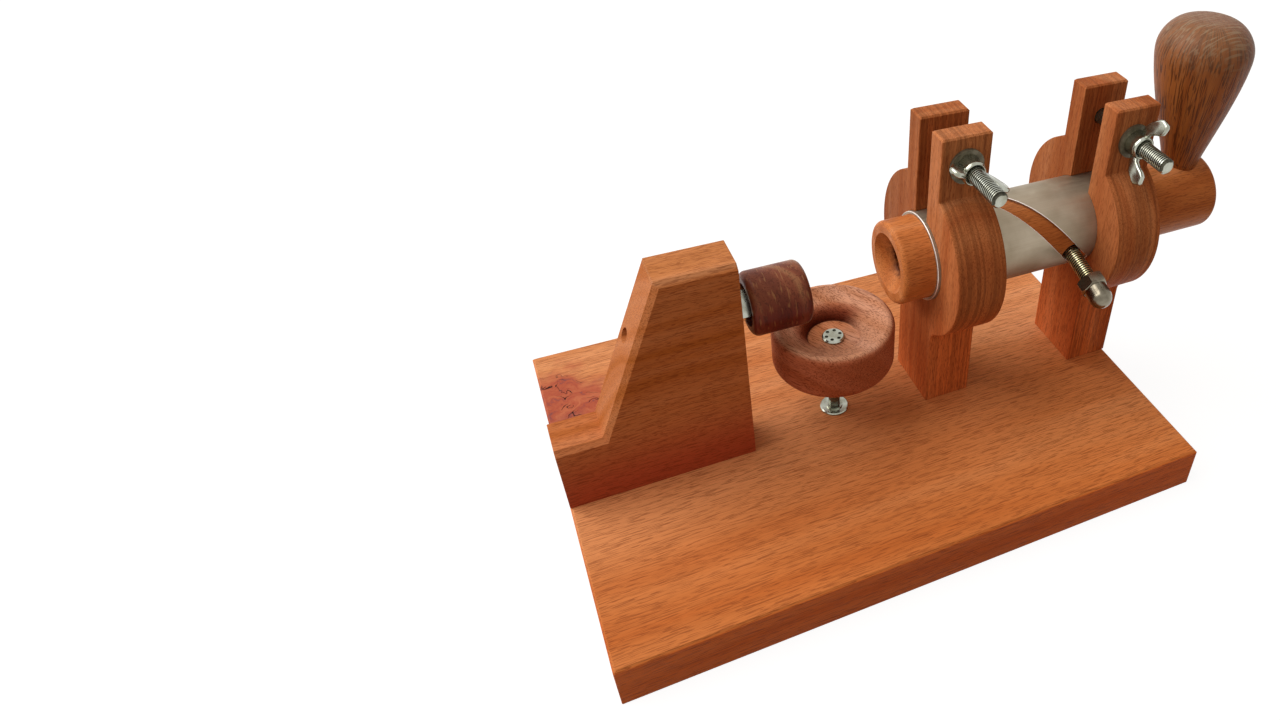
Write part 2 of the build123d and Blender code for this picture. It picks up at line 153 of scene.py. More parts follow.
def ring_lines(tree, place, colour, scale):
    """Thin growth rings cut across, seen as fine lines on the faces that cross them."""
    thin = add(tree, "VectorMath", {0: place, 1: scale}, operation="MULTIPLY").outputs[0]
    lines = add(tree, "TexNoise", {"Vector": thin, "Scale": 1.0, "Detail": 1.0}).outputs[0]
    lines = add(tree, "MapRange", {"Value": lines, "From Min": 0.35, "From Max": 0.62,
                                   "To Min": 0.74, "To Max": 1.10}).outputs[0]
    return add(tree, "Mix", {0: 1.0, 6: colour, 7: lines}, data_type="RGBA",
               blend_type="MULTIPLY").outputs[2]


def burr_figure(tree, place, colour, relief, centre, reach, red, rosy, purple, split):
    """A burr by the board's end: swirled red grain round a purple heart, split by short dark checks."""
    curl_scale, curl_bend, curl_drag = 70.0, 0.9, 34 * mm        # curls 14 mm across
    eddy_scale = (90, 240, 90)       # 11 mm along the board and 4 mm across it
    check_scale = (60, 190, 60)      # 17 mm and 5 mm
    check_edge = (0.018, 0.006)      # how far from a crack's middle it starts and is whole
    open_scale = 110.0               # cracks open in patches 9 mm across
    stain_centre = (-0.1, -0.45, 0)  # as a share of the burr's reach
    off = add(tree, "VectorMath", {0: place, 1: centre}, operation="SUBTRACT").outputs[0]
    share = add(tree, "VectorMath", {0: off, 1: [1 / r for r in reach]}, operation="MULTIPLY").outputs[0]
    curl = add(tree, "TexNoise", {"Vector": place, "Scale": curl_scale, "Detail": 3.0}).outputs["Color"]
    curl = add(tree, "VectorMath", {0: curl, 1: (0.5, 0.5, 0.5)}, operation="SUBTRACT").outputs[0]
    bent = add(tree, "VectorMath", {0: curl, 1: [curl_bend] * 3, 2: share},
               operation="MULTIPLY_ADD").outputs[0]
    gap = add(tree, "VectorMath", {0: bent}, operation="LENGTH").outputs["Value"]
    near = add(tree, "MapRange", {"Value": gap, "From Min": 1.0, "From Max": 0.6},
               interpolation_type="SMOOTHSTEP").outputs[0]

    swirl = add(tree, "VectorMath", {0: curl, 1: [curl_drag] * 3, 2: place},
                operation="MULTIPLY_ADD").outputs[0]
    drawn = add(tree, "VectorMath", {0: swirl, 1: eddy_scale}, operation="MULTIPLY").outputs[0]
    eddy = add(tree, "TexNoise", {"Vector": drawn, "Scale": 1.0, "Detail": 4.0, "Roughness": 0.6}).outputs[0]
    figure = add(tree, "ValToRGB", {"Fac": eddy},
                 ramp=[(0.30, paint(purple)), (0.44, paint(red)), (0.70, paint(rosy))]).outputs[0]
    blotch = add(tree, "VectorMath", {0: bent, 1: stain_centre}, operation="DISTANCE").outputs["Value"]
    stained = add(tree, "MapRange", {"Value": blotch, "From Min": 0.75, "From Max": 0.2, "To Max": 0.9},
                  interpolation_type="SMOOTHSTEP").outputs[0]
    figure = add(tree, "Mix", {0: stained, 6: figure, 7: paint(purple)}, data_type="RGBA").outputs[2]
    colour = add(tree, "Mix", {0: near, 6: colour, 7: figure}, data_type="RGBA").outputs[2]

    strip = add(tree, "VectorMath", {0: swirl, 1: check_scale}, operation="MULTIPLY").outputs[0]
    check = add(tree, "TexNoise", {"Vector": strip, "Scale": 1.0, "Detail": 0.0}).outputs[0]
    check = add(tree, "Math", {0: check, 1: 0.5}, operation="SUBTRACT").outputs[0]
    check = add(tree, "Math", {0: check}, operation="ABSOLUTE").outputs[0]
    check = add(tree, "MapRange", {"Value": check, "From Min": check_edge[0],
                                   "From Max": check_edge[1]}).outputs[0]
    open_here = add(tree, "TexNoise", {"Vector": place, "Scale": open_scale, "Detail": 0.0}).outputs[0]
    open_here = add(tree, "MapRange", {"Value": open_here, "From Min": 0.53, "From Max": 0.60}).outputs[0]
    check = add(tree, "Math", {0: check, 1: open_here}, operation="MULTIPLY").outputs[0]
    check = add(tree, "Math", {0: check, 1: near}, operation="MULTIPLY").outputs[0]

    # the longest check, 14 mm by 1 mm, lies along the grain in the purple stain
    longest_centre = (-1 * mm, -21 * mm, 0)
    longest_half = (7 * mm, 0.6 * mm, 10 * mm)
    longest_bend = (4 * mm, 4 * mm, 0)
    shift = add(tree, "VectorMath", {0: curl, 1: longest_bend, 2: off}, operation="MULTIPLY_ADD").outputs[0]
    shift = add(tree, "VectorMath", {0: shift, 1: longest_centre}, operation="SUBTRACT").outputs[0]
    shift = add(tree, "VectorMath", {0: shift, 1: [1 / half for half in longest_half]},
                operation="MULTIPLY").outputs[0]
    shift = add(tree, "VectorMath", {0: shift}, operation="LENGTH").outputs["Value"]
    longest = add(tree, "MapRange", {"Value": shift, "From Min": 1.1, "From Max": 0.8}).outputs[0]
    check = add(tree, "Math", {0: check, 1: longest}, operation="MAXIMUM").outputs[0]
    colour = add(tree, "Mix", {0: check, 6: colour, 7: paint(split)}, data_type="RGBA").outputs[2]
    relief = add(tree, "Math", {0: check, 1: -4.0, 2: relief}, operation="MULTIPLY_ADD").outputs[0]
    return colour, relief


def hollow_shade(tree, place, colour, centre, inner, outer, depth, shade_tone):
    """Painted shade in a hollow cut into an end along X, as far in as depth: it goes dark from the outer radius
    in to the inner, along a wandering edge."""
    wobble_scale, wobble_reach = 420.0, 6 * mm       # its edge wanders every 2.4 mm
    off, _, wide = from_axis(tree, place, centre, (0, 1, 1))
    wobble = add(tree, "TexNoise", {"Vector": place, "Scale": wobble_scale, "Detail": 3.0}).outputs[0]
    ragged = add(tree, "Math", {0: wobble, 1: wobble_reach, 2: wide}, operation="MULTIPLY_ADD").outputs[0]
    dark_in = add(tree, "MapRange", {"Value": ragged, "From Min": outer, "From Max": inner},
                  interpolation_type="SMOOTHSTEP").outputs[0]
    deep = add(tree, "SeparateXYZ", {0: off}).outputs["X"]
    inside = add(tree, "Math", {0: deep, 1: depth}, operation="LESS_THAN").outputs[0]
    dark_in = add(tree, "Math", {0: dark_in, 1: inside}, operation="MULTIPLY").outputs[0]
    return add(tree, "Mix", {0: dark_in, 6: colour, 7: paint(shade_tone)}, data_type="RGBA").outputs[2]


def shade_in_bowl(tree, place, colour, centre, stops, reach):
    """Painted shade in a turned hollow: the floor left nearly as it is, a dark line painted where it meets the
    wall, and the back of the wall painted darker, where the shade falls. stops are (radius in mm, tint)."""
    to_back = (-0.35, 0.94, 0)
    off, _, wide = from_axis(tree, place, centre, (1, 1, 0))
    wide = add(tree, "MapRange", {"Value": wide, "From Max": reach}).outputs[0]
    bands = add(tree, "ValToRGB", {"Fac": wide},
                ramp=[(radius * mm / reach, paint(code)) for radius, code in stops]).outputs[0]
    back = add(tree, "VectorMath", {0: off, 1: to_back}, operation="DOT_PRODUCT").outputs["Value"]
    back = add(tree, "MapRange", {"Value": back, "From Min": -8 * mm, "From Max": 7 * mm},
               interpolation_type="SMOOTHSTEP").outputs[0]
    return add(tree, "Mix", {0: back, 6: colour, 7: bands}, data_type="RGBA",
               blend_type="MULTIPLY").outputs[2]


def tool_lines(tree, place, colour, relief, spacing, pale):
    """Lines left by the turning tool round the piece, a little paler where the wood was polished by rubbing."""
    round_scale = 180                # a line fades after 6 mm
    paleness, ridge = 0.38, 0.8
    turns = add(tree, "VectorMath", {0: place, 1: (1 / (spacing * mm), round_scale, round_scale)},
                operation="MULTIPLY").outputs[0]
    tool = add(tree, "TexNoise", {"Vector": turns, "Scale": 1.0, "Detail": 1.0}).outputs[0]
    tool = add(tree, "MapRange", {"Value": tool, "From Min": 0.60, "From Max": 0.72}).outputs[0]
    faint = add(tree, "Math", {0: tool, 1: paleness}, operation="MULTIPLY").outputs[0]
    colour = add(tree, "Mix", {0: faint, 6: colour, 7: paint(pale)}, data_type="RGBA").outputs[2]
    relief = add(tree, "Math", {0: tool, 1: ridge, 2: relief}, operation="MULTIPLY_ADD").outputs[0]
    return colour, relief


def rubbed_end(tree, place, colour, height, dusty):
    """The end above height that the palm rubs: greyer and drier, crossed by fine pale scratches."""
    fade, uneven_scale, uneven_reach = 32 * mm, 60.0, 16 * mm    # its edge wanders every 17 mm
    scratch_turn = math.radians(25)
    scratch_scale = (60, 1200, 400)  # 17 mm long and 0.8 mm wide
    up = add(tree, "SeparateXYZ", {0: place}).outputs["Z"]
    uneven = add(tree, "TexNoise", {"Vector": place, "Scale": uneven_scale, "Detail": 2.0}).outputs[0]
    up = add(tree, "Math", {0: uneven, 1: uneven_reach, 2: up}, operation="MULTIPLY_ADD").outputs[0]
    worn = add(tree, "MapRange", {"Value": up, "From Min": height, "From Max": height + fade},
               interpolation_type="SMOOTHSTEP").outputs[0]
    slant = add(tree, "Mapping", {"Vector": place, "Rotation": (0, 0, scratch_turn),
                                  "Scale": scratch_scale}).outputs[0]
    scratch = add(tree, "TexNoise", {"Vector": slant, "Scale": 1.0, "Detail": 1.0}).outputs[0]
    scratch = add(tree, "MapRange", {"Value": scratch, "From Min": 0.50, "From Max": 0.64,
                                     "To Min": 0.3, "To Max": 0.9}).outputs[0]
    scratch = add(tree, "Math", {0: scratch, 1: worn}, operation="MULTIPLY").outputs[0]
    return add(tree, "Mix", {0: scratch, 6: colour, 7: paint(dusty)}, data_type="RGBA").outputs[2]


def timber(name, tones, heart, ring, mark, strength, often, gloss, rough=0.5, lie=(0, 0, 0), tapered=None,
           painted_light_washes=(), layers=None, burr=None, painted_hollow_shade=None, bowl_shade=None, side_shade=None, lathe=None, rubbed=None):
    """Planed or turned hardwood, cut from a log whose heart runs along the grain. lie turns the grain to X.
    tones run from late wood to early wood, then the dark marks. mark is the length and width in mm of the
    short dark lines that beech shows, strength how dark they are, and often how rare. Each painted light wash
    is a direction, the places where it begins and is full, and the wash: painted light and shade that lighten
    or darken a piece by its height or place, as the light falls on it. The rest only some pieces have."""
    material, tree = blank(name)
    place = add(tree, "TexCoord").outputs["Object"]
    grain = tapered_grain(tree, place, *tapered) if tapered else place
    laid = add(tree, "Mapping", {"Vector": grain, "Rotation": [math.radians(a) for a in lie],
                                 "Location": heart}).outputs[0]
    rings = growth_rings(tree, laid, ring)

    fibre_scale = (22, 1050, 1050)   # 45 mm by 1 mm, as coarse as they need to be to show
    fine = add(tree, "VectorMath", {0: laid, 1: fibre_scale}, operation="MULTIPLY").outputs[0]
    fibre = add(tree, "TexNoise", {"Vector": fine, "Scale": 1.0, "Detail": 2.0}).outputs[0]
    # beech's rays and pores, short lines that hold the oil and go dark
    length, width = mark
    mark_scale = (0.5 / (length * mm), 0.9 / (width * mm), 0.9 / (width * mm))
    short = add(tree, "VectorMath", {0: laid, 1: mark_scale}, operation="MULTIPLY").outputs[0]
    dashes = add(tree, "TexNoise", {"Vector": short, "Scale": 1.0, "Detail": 0.0,
                                    "Distortion": 1.2}).outputs[0]
    dashes = add(tree, "MapRange", {"Value": dashes, "From Min": often, "From Max": often + 0.08}).outputs[0]
    held = add(tree, "Math", {0: dashes, 1: strength}, operation="MULTIPLY").outputs[0]

    late, between, early, dark = [paint(code) for code in tones]
    colour = add(tree, "ValToRGB", {"Fac": rings},
                 ramp=[(0.30, late), (0.50, between), (0.70, early)]).outputs[0]
    shade = add(tree, "MapRange", {"Value": fibre, "From Min": 0.3, "From Max": 0.7,
                                   "To Min": 0.93, "To Max": 1.07}).outputs[0]
    colour = add(tree, "Mix", {0: 1.0, 6: colour, 7: shade}, data_type="RGBA",
                 blend_type="MULTIPLY").outputs[2]
    # painted light and shade: each wash tints the colour by place, for lit tops and shaded sides and feet
    for direction, begin, full, wash in painted_light_washes:
        along = add(tree, "SeparateXYZ", {0: place}).outputs[direction]
        colour = wash_over(tree, colour, along, begin, full, wash)
    if layers:
        colour = ring_lines(tree, place, colour, layers)
    colour = add(tree, "Mix", {0: held, 6: colour, 7: dark}, data_type="RGBA").outputs[2]
    relief = add(tree, "Math", {0: held, 1: -1.0, 2: fibre}, operation="MULTIPLY_ADD").outputs[0]
    if burr:
        colour, relief = burr_figure(tree, place, colour, relief, *burr)
    if painted_hollow_shade:
        colour = hollow_shade(tree, place, colour, *painted_hollow_shade)
    if bowl_shade:
        colour = shade_in_bowl(tree, place, colour, *bowl_shade)
    if side_shade:
        # painted shade: the turned side is drawn darker and redder than the top
        centre, begin, full, wash = side_shade
        wide = from_axis(tree, place, centre, (1, 1, 0))[2]
        colour = wash_over(tree, colour, wide, begin, full, wash)
    if lathe:
        colour, relief = tool_lines(tree, place, colour, relief, *lathe)
    if rubbed:
        colour = rubbed_end(tree, place, colour, *rubbed)

    # wax and handling leave the early wood smoother than the late wood, and open pores catch the light
    sheen = add(tree, "MapRange", {"Value": rings, "From Min": 0.3, "From Max": 0.7,
                                   "To Min": rough + 0.06, "To Max": rough - 0.04}).outputs[0]
    bump = add(tree, "Bump", {"Height": relief, "Strength": 0.5, "Distance": 0.12 * mm}).outputs[0]
    shader = add(tree, "BsdfPrincipled", {"Base Color": colour, "Roughness": sheen, "Normal": bump,
                                          "IOR": 1.45, "Specular IOR Level": gloss}).outputs[0]
    add(tree, "OutputMaterial", {"Surface": shader})
    return material


def zinc_plate(name, low, high):
    """Zinc-plated steel, bright dipped: a pale grey metal with a faint straw tint, smooth but not polished,
    so it shows soft broken reflections, duller in handled patches."""
    patch_scale, grain_scale = 180.0, 2500.0     # patches 6 mm across, grain 0.4 mm
    material, tree = blank(name)
    place = add(tree, "TexCoord").outputs["Object"]
    patches = add(tree, "TexNoise", {"Vector": place, "Scale": patch_scale, "Detail": 3.0}).outputs[0]
    grain = add(tree, "TexNoise", {"Vector": place, "Scale": grain_scale, "Detail": 1.0}).outputs[0]
    colour = add(tree, "ValToRGB", {"Fac": patches},
                 ramp=[(0.35, paint(low)), (0.62, paint(high))]).outputs[0]
    rough = add(tree, "MapRange", {"Value": patches, "From Min": 0.3, "From Max": 0.7,
                                   "To Min": 0.30, "To Max": 0.16}).outputs[0]
    bump = add(tree, "Bump", {"Height": grain, "Strength": 0.2, "Distance": 0.03 * mm}).outputs[0]
    shader = add(tree, "BsdfPrincipled", {"Base Color": colour, "Metallic": 1.0, "Roughness": rough,
                                          "Normal": bump}).outputs[0]
    add(tree, "OutputMaterial", {"Surface": shader})
    return material


def straw_plate():
    """Steel with an old zinc coat gone straw: warmer and a little duller than new plate."""
    patch_scale = 240.0              # patches 4 mm across
    material, tree = blank("straw zinc plated thread")
    place = add(tree, "TexCoord").outputs["Object"]
    patches = add(tree, "TexNoise", {"Vector": place, "Scale": patch_scale, "Detail": 3.0}).outputs[0]
    colour = add(tree, "ValToRGB", {"Fac": patches},
                 ramp=[(0.38, paint("#b3a678")), (0.62, paint("#cbc19c"))]).outputs[0]
    rough = add(tree, "MapRange", {"Value": patches, "From Min": 0.3, "From Max": 0.7,
                                   "To Min": 0.36, "To Max": 0.22}).outputs[0]
    shader = add(tree, "BsdfPrincipled", {"Base Color": colour, "Metallic": 1.0, "Roughness": rough}).outputs[0]
    add(tree, "OutputMaterial", {"Surface": shader})
    return material


def shaded_steel(name, low, high):
    """Dull, dark and olive-grey steel laid on as painted shade: in the roots of threads, in small dimples and
    on washers behind nuts.
    """
    mottle_scale = 300.0               # patches 3 mm across
    material, tree = blank(name)
    place = add(tree, "TexCoord").outputs["Object"]
    mottle = add(tree, "TexNoise", {"Vector": place, "Scale": mottle_scale, "Detail": 2.0}).outputs[0]
    colour = add(tree, "ValToRGB", {"Fac": mottle}, ramp=[(0.35, paint(low)), (0.65, paint(high))]).outputs[0]
    rough = add(tree, "MapRange", {"Value": mottle, "From Min": 0.3, "From Max": 0.7,
                                   "To Min": 0.62, "To Max": 0.45}).outputs[0]
    shader = add(tree, "BsdfPrincipled", {"Base Color": colour, "Metallic": 0.6, "Roughness": rough}).outputs[0]
    add(tree, "OutputMaterial", {"Surface": shader})
    return material


def drawn_aluminium(name, low, high, smooth):
    """Drawn aluminium tube, left as it came: a soft grey metal with fine lines along its length,
    so reflections smear round the tube and stay clear along it."""
    line_scale = (12, 1400, 1400)    # 80 mm long and 0.7 mm wide, as coarse as they need to be to show
    cloud_scale = 60.0               # handling marks 17 mm across
    material, tree = blank(name)
    place = add(tree, "TexCoord").outputs["Object"]
    lines = add(tree, "VectorMath", {0: place, 1: line_scale}, operation="MULTIPLY").outputs[0]
    drawn = add(tree, "TexNoise", {"Vector": lines, "Scale": 1.0, "Detail": 2.0}).outputs[0]
    cloud = add(tree, "TexNoise", {"Vector": place, "Scale": cloud_scale, "Detail": 4.0}).outputs[0]
    colour = add(tree, "ValToRGB", {"Fac": cloud}, ramp=[(0.35, paint(low)), (0.65, paint(high))]).outputs[0]
    rough = add(tree, "MapRange", {"Value": drawn, "From Min": 0.3, "From Max": 0.7,
                                   "To Min": smooth, "To Max": smooth + 0.12}).outputs[0]
    bump = add(tree, "Bump", {"Height": drawn, "Strength": 0.35, "Distance": 0.03 * mm}).outputs[0]
    shader = add(tree, "BsdfPrincipled", {"Base Color": colour, "Metallic": 1.0, "Roughness": rough,
                                          "Normal": bump}).outputs[0]
    add(tree, "OutputMaterial", {"Surface": shader})
    return material


def seen_plainly(tree):
    """1 where a thing is seen, straight, in a reflection or through glass, and 0 where it only gives light."""
    path = add(tree, "LightPath").outputs
    seen = add(tree, "Math", {0: path["Is Camera Ray"], 1: path["Is Glossy Ray"]},
               operation="MAXIMUM").outputs[0]
    return add(tree, "Math", {0: seen, 1: path["Is Transmission Ray"]}, operation="MAXIMUM").outputs[0]


def pale_floor():
    """A plain white card. It keeps the shadow of what stands on it, and throws little light back up."""
    thrown_back = [0.30, 0.22, 0.155, 1.0]
    own_share, own_light = 0.80, 1.15
    material, tree = blank("white card")
    seen = seen_plainly(tree)
    share = add(tree, "Math", {0: seen, 1: own_share}, operation="MULTIPLY").outputs[0]
    tone = add(tree, "Mix", {0: seen, 6: thrown_back, 7: paint("#e2e2e2")}, data_type="RGBA").outputs[2]
    card = add(tree, "BsdfDiffuse", {"Color": tone}).outputs[0]
    white = add(tree, "Emission", {"Color": grey(1.0), "Strength": own_light}).outputs[0]
    both = add(tree, "MixShader", {0: share, 1: card, 2: white}).outputs[0]
    add(tree, "OutputMaterial", {"Surface": both})
    return material


# Beech, planed and oiled to a red brown: soft broad rings crossed by short dark lines, nearly matt
board_wood = timber("oiled beech board", ["#bd6831", "#c4723a", "#cc7d45", "#6f3018"],
                    heart=(0, 0.02, -0.09), ring=13.0, mark=(5.0, 0.38), strength=0.52, often=0.56, gloss=0.08,
                    burr=((-0.140, 0.046, 0.025), (0.034, 0.048, 0.05),
                          "#ac553e", "#bd6c4c", "#774a4d", "#2c1310"),
                    # painted light: the board is drawn paler towards the back as a painted sheen, and towards
                    # the right end where the brackets shade it; painted shade: its sides below the top are
                    # drawn darker and redder
                    painted_light_washes=[("Y", -0.100, 0.030, [1.16, 1.46, 2.15, 1.0]),
                           ("X", 0.02, 0.13, [1.13, 1.16, 1.20, 1.0]),
                           ("Z", 0.0247, 0.0236, [1.08, 0.80, 0.62, 1.0])])
post_wood = timber("oiled beech post", ["#b36730", "#bd7240", "#c67f50", "#6a2c12"],
                   heart=(0.02, 0.05, -0.05), ring=9.0, mark=(2.8, 0.42), strength=0.45, often=0.54, gloss=0.05,
                   # painted shade: the post is drawn darker and redder towards its foot, for shade and the warm
                   # light the board throws up; painted light: its top face is drawn paler, as a painted sheen
                   painted_light_washes=[("Z", 0.072, 0.030, [0.80, 0.42, 0.5, 1.0]),
                          ("Z", 0.1395, 0.1410, [1.08, 1.25, 1.5, 1.0])])
bracket_wood = timber("oiled beech brackets", ["#a85f36", "#b36c40", "#be7a4e", "#6b2c14"], lie=(0, 90, 0),
                      heart=(0, 0.06, 0.05), ring=8.0, mark=(2.8, 0.42), strength=0.45, often=0.55, gloss=0.05,
                      # painted shade: the brackets are drawn redder towards the bottom, for shade and the warm
                      # light the board throws up
                      layers=(820, 14, 9), painted_light_washes=[("Z", 0.105, 0.070, [1.34, 1.06, 0.9, 1.0])])

# Turned wood, left smoother by the tool: the dish pale and dry, the plunger waxed, the anvil and handle dark
dish_wood = timber("turned beech dish", ["#c28460", "#cf9676", "#d9a387", "#6a3219"], lie=(0, 0, 60),
                   heart=(0, 0.05, -0.04), ring=9.0, mark=(3.2, 0.42), strength=0.6, often=0.55, gloss=0.05,
                   # painted shade in the dish's hollow: a dark line where its floor meets the wall, and the
                   # back of the wall darker
                   bowl_shade=(dish_centre, [(0.0, "#fbe2c8"), (12.4, "#fbe2c8"), (13.0, "#5a3c34"),
                                       (13.6, "#7d4c40"), (15.5, "#a87a6c"), (18.5, "#e2cbc2"),
                                       (20.5, "#ffffff")], 0.026),
                   # painted shade: the dish's turned side is drawn darker and redder
                   side_shade=(dish_centre, 0.0285, 0.0305, [0.68, 0.39, 0.30, 1.0]))
plunger_wood = timber("turned hardwood plunger", ["#b76833", "#c67841", "#d28854", "#6d3010"],
                      heart=(0, 0.05, -0.14), ring=8.0, mark=(3.2, 0.42), strength=0.45, often=0.55, rough=0.42,
                      # painted shade: the nose hollow is drawn dark inside, so that it looks deep
                      gloss=0.1, painted_hollow_shade=(nose_centre, 0.0090, 0.0150, 0.017, "#4a1d10"))
anvil_wood = timber("dark turned hardwood anvil", ["#5e231c", "#6f2c22", "#814030", "#32120c"], lie=(0, 90, 0),
                    heart=(0, 0.05, -0.14), ring=5.0, mark=(5.0, 0.8), strength=0.4, often=0.58, rough=0.34,
                    # painted sheen: the anvil's top is drawn paler
                    gloss=0.12, lathe=(1.0, "#b98a5c"), painted_light_washes=[("Z", 0.106, 0.122, [1.4, 2.7, 2.3, 1.0])])
handle_wood = timber("turned hardwood handle", ["#8f4b20", "#a05d2c", "#ab6a38", "#35150b"], lie=(0, 90, 0),
                     heart=(0, 0.05, 0.14), ring=6.0, mark=(6.5, 0.6), strength=0.68, often=0.525, rough=0.42,
                     gloss=0.16, rubbed=(0.190, "#957c62"), tapered=(handle_centre, 0.012, 0.018),
                     # painted shade: the handle is drawn darker towards its top, to hold down the light that
                     # falls on it
                     painted_light_washes=[("Z", 0.180, 0.206, [0.62, 0.58, 0.62, 1.0])])

zinc = zinc_plate("bright zinc plated steel", "#9a9988", "#b5b7aa")
# painted reflection: the cap nut's zinc is worn, darker and browner, and its darkness also stands in for the
# dark room that its dome would mirror
darkened_nut_zinc = zinc_plate("zinc plated cap nut, worn and darkened", "#6c6455", "#8a8271")
straw_zinc = straw_plate()
# painted shade: the roots of threads and the dimples of the dish bolt's head are drawn dark
root_shade = shaded_steel("painted shade in thread roots", "#3a382c", "#5d5c4e")
# painted shade: the washers behind the wing nuts are drawn dark, as the shade round the nuts
washer_shade = shaded_steel("zinc plated washer drawn dark as shade", "#57513f", "#746d5b")
aluminium = drawn_aluminium("drawn aluminium tube", "#9a8c76", "#b0a28d", 0.46)
cut_aluminium = drawn_aluminium("filed aluminium edge", "#d8ccc4", "#efe8e2", 0.45)

finish_of = {slot: zinc for slot in set(slot_of.values())}
finish_of.update(board_wood=board_wood, beech=post_wood, dark_wood=anvil_wood, handle_wood=handle_wood,
                 tube_aluminium=aluminium)
own_finish = {"front_bracket": bracket_wood, "rear_bracket": bracket_wood, "dish_base": dish_wood,
              "dish_cup": dish_wood, "plunger": plunger_wood, "guide_pin": straw_zinc,
              "front_wing_washer": washer_shade, "rear_wing_washer": washer_shade, "cap_nut": darkened_nut_zinc}


def finish(name):
    return own_finish.get(name, finish_of[slot_of[name]])


for name, node in frame["nodes"].items():
    node.data.materials.clear()
    node.data.materials.append(finish(name))


# ---------------------------------------------------------------- pieces made over the solids


def put_down():
    """Leaves edit mode and lets go of everything."""
    if bpy.context.object and bpy.context.object.mode != "OBJECT":
        bpy.ops.object.mode_set(mode="OBJECT")
    bpy.ops.object.select_all(action="DESELECT")


def take(piece):
    put_down()
    piece.select_set(True)
    bpy.context.view_layer.objects.active = piece


def work_all(piece):
    """Opens a piece in edit mode with all of it selected."""
    take(piece)
    bpy.ops.object.mode_set(mode="EDIT")
    bpy.ops.mesh.select_all(action="SELECT")


def close(piece, angle):
    """Turns all faces outwards and shades as one those that meet at less than an angle."""
    work_all(piece)
    bpy.ops.mesh.normals_make_consistent(inside=False)
    bpy.ops.object.mode_set(mode="OBJECT")
    bpy.ops.object.shade_smooth_by_angle(angle=angle)
    return piece


def settle(piece):
    """Leaves a piece's place and turn in its mesh."""
    take(piece)
    bpy.ops.object.transform_apply(location=True, rotation=True, scale=False)
    return piece


def aim(piece, origin, direction):
    """Lays a piece that was made along Z on a line from origin."""
    piece.location = origin
    piece.rotation_euler = Vector(direction).to_track_quat("Z", "Y").to_euler()
    return settle(piece)


def join(piece, other):
    if other.data.materials and not piece.data.materials:
        piece.data.materials.append(other.data.materials[0])
    take(piece)
    other.select_set(True)
    bpy.ops.object.join()
    return piece


def stand_for(piece, name):
    """The piece takes the place of a solid: its body and its finish."""
    if not piece.data.materials:
        piece.data.materials.append(finish(name))
    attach(piece, body_of[name])
    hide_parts(name)
    return piece


def copy_of(name):
    """A merged copy of a solid, its flat faces made whole again."""
    node = frame["nodes"][name]
    piece = bpy.data.objects.new(name + "_made", node.data.copy())
    bpy.context.scene.collection.objects.link(piece)
    take(piece)
    bpy.ops.mesh.customdata_custom_splitnormals_clear()
    work_all(piece)
    bpy.ops.mesh.remove_doubles(threshold=same_point)
    bpy.ops.mesh.select_all(action="SELECT")
    bpy.ops.mesh.dissolve_limited(angle_limit=math.radians(0.3))
    put_down()
    return piece


def leave_small_rings(piece, least):
    """Lets go of the edges that belong to drilled holes and other marks smaller than least."""
    mesh = bmesh.from_edit_mesh(piece.data)
    left = {edge for edge in mesh.edges if edge.select}
    while left:
        group, todo = set(), [left.pop()]
        while todo:
            edge = todo.pop()
            group.add(edge)
            for near in {e for v in edge.verts for e in v.link_edges} & left:
                left.discard(near)
                todo.append(near)
        spots = [v.co for edge in group for v in edge.verts]
        if max(max(c[i] for c in spots) - min(c[i] for c in spots) for i in range(3)) < least:
            for edge in group:
                edge.select = False
    mesh.select_flush_mode()
    bmesh.update_edit_mesh(piece.data)


def ease(name, width, sharp, rim=None):
    """Breaks the edges of a piece by width mm, as sandpaper or a file does, where faces meet at more than
    sharp degrees. rim is the finish of the broken edges."""
    smallest_ring = 24 * mm
    piece = copy_of(name)
    take(piece)
    bpy.ops.object.shade_smooth_by_angle(angle=math.radians(sharp))
    if rim:
        piece.data.materials.append(rim)
    work_all(piece)
    bpy.ops.mesh.select_mode(type="EDGE")
    bpy.ops.mesh.select_all(action="DESELECT")
    bpy.ops.mesh.edges_select_sharp(sharpness=math.radians(sharp))
    leave_small_rings(piece, smallest_ring)
    bpy.ops.mesh.bevel(offset=width * mm, segments=2, affect="EDGES", clamp_overlap=False,
                       material=1 if rim else -1)
    bpy.ops.mesh.select_mode(type="VERT")
    bpy.ops.object.mode_set(mode="OBJECT")
    bpy.ops.object.shade_smooth_by_angle(angle=crease)
    flat = piece.modifiers.new("flat faces stay flat", "WEIGHTED_NORMAL")
    flat.keep_sharp, flat.weight = True, 100
    bpy.ops.object.modifier_apply(modifier=flat.name)
    return stand_for(piece, name)


def draw(name, points):
    """An open outline in the plane y = 0, drawn from one (radius, height) point in mm to the next."""
    spots = [Vector((r, 0, z)) * mm for r, z in points]
    put_down()
    bpy.ops.mesh.primitive_plane_add(size=mm)
    piece = bpy.context.object
    piece.name = name
    bpy.ops.object.mode_set(mode="EDIT")
    bpy.ops.mesh.merge(type="CENTER")
    bpy.ops.transform.translate(value=spots[0])
    for a, b in zip(spots, spots[1:]):
        bpy.ops.mesh.extrude_region_move(TRANSFORM_OT_translate={"value": b - a})
    bpy.ops.object.mode_set(mode="OBJECT")
    return piece


